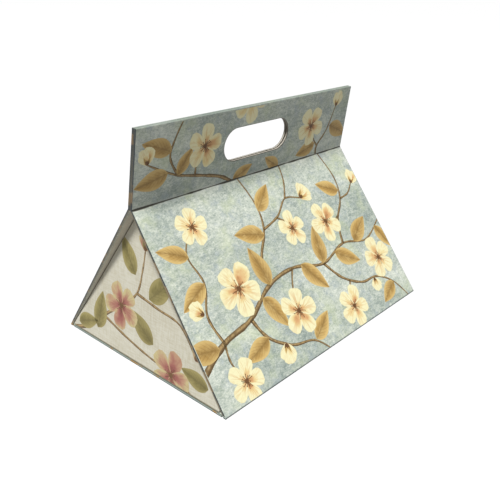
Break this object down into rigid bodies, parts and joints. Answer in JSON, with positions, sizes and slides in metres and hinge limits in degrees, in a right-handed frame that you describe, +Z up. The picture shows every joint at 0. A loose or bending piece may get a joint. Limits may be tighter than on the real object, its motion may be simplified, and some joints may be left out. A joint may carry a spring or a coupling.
{
  "type": "triangle gift box",
  "caption": "Triangular gift box of paper-covered boards: sloping covers that open from the ridge, end flaps, and an upright handle with a hand hole.",
  "frame": {"origin": "middle of the base's underside, on the table", "axes": "+X along the ridge, front slope faces -Y, +Z up"},
  "size_m": [0.2602, 0.182, 0.186],
  "materials": {
    "outer_paper": "matte",
    "end_paper": "matte",
    "cream_blossoms": "matte",
    "rose_blossoms": "matte",
    "brown_hearts": "matte",
    "ochre_leaves": "matte",
    "olive_leaves": "matte",
    "brown_twigs": "matte"
  },
  "bodies": {
    "base": {"base_panel": "outer_paper"},
    "front_cover": {"front_slope_panel": "outer_paper", "front_handle_panel": "outer_paper", "front_print_blossoms": "cream_blossoms", "front_print_hearts": "brown_hearts", "front_print_leaves": "ochre_leaves", "front_print_twigs": "brown_twigs"},
    "back_cover": {"back_slope_panel": "outer_paper", "back_handle_panel": "outer_paper", "back_print_blossoms": "cream_blossoms", "back_print_hearts": "brown_hearts", "back_print_leaves": "ochre_leaves", "back_print_twigs": "brown_twigs"},
    "left_end": {"left_end_panel": "end_paper", "left_print_blossoms": "rose_blossoms", "left_print_hearts": "brown_hearts", "left_print_leaves": "olive_leaves", "left_print_twigs": "brown_twigs"},
    "right_end": {"right_end_panel": "end_paper", "right_print_blossoms": "rose_blossoms", "right_print_hearts": "brown_hearts", "right_print_leaves": "olive_leaves", "right_print_twigs": "brown_twigs"}
  },
  "joints": [
    {"name": "front_cover_hinge", "type": "hinge", "parent": "base", "child": "front_cover", "pos_m": [0, -0.0915, 0], "axis": [1, 0, 0], "range_deg": [0, 110]},
    {"name": "back_cover_hinge", "type": "hinge", "parent": "base", "child": "back_cover", "pos_m": [0, 0.0915, 0], "axis": [-1, 0, 0], "range_deg": [0, 110]},
    {"name": "left_end_hinge", "type": "hinge", "parent": "base", "child": "left_end", "pos_m": [-0.13, 0, 0.00246], "axis": [0, -1, 0], "range_deg": [0, 94]},
    {"name": "right_end_hinge", "type": "hinge", "parent": "base", "child": "right_end", "pos_m": [0.13, 0, 0.00246], "axis": [0, 1, 0], "range_deg": [0, 94]}
  ]
}
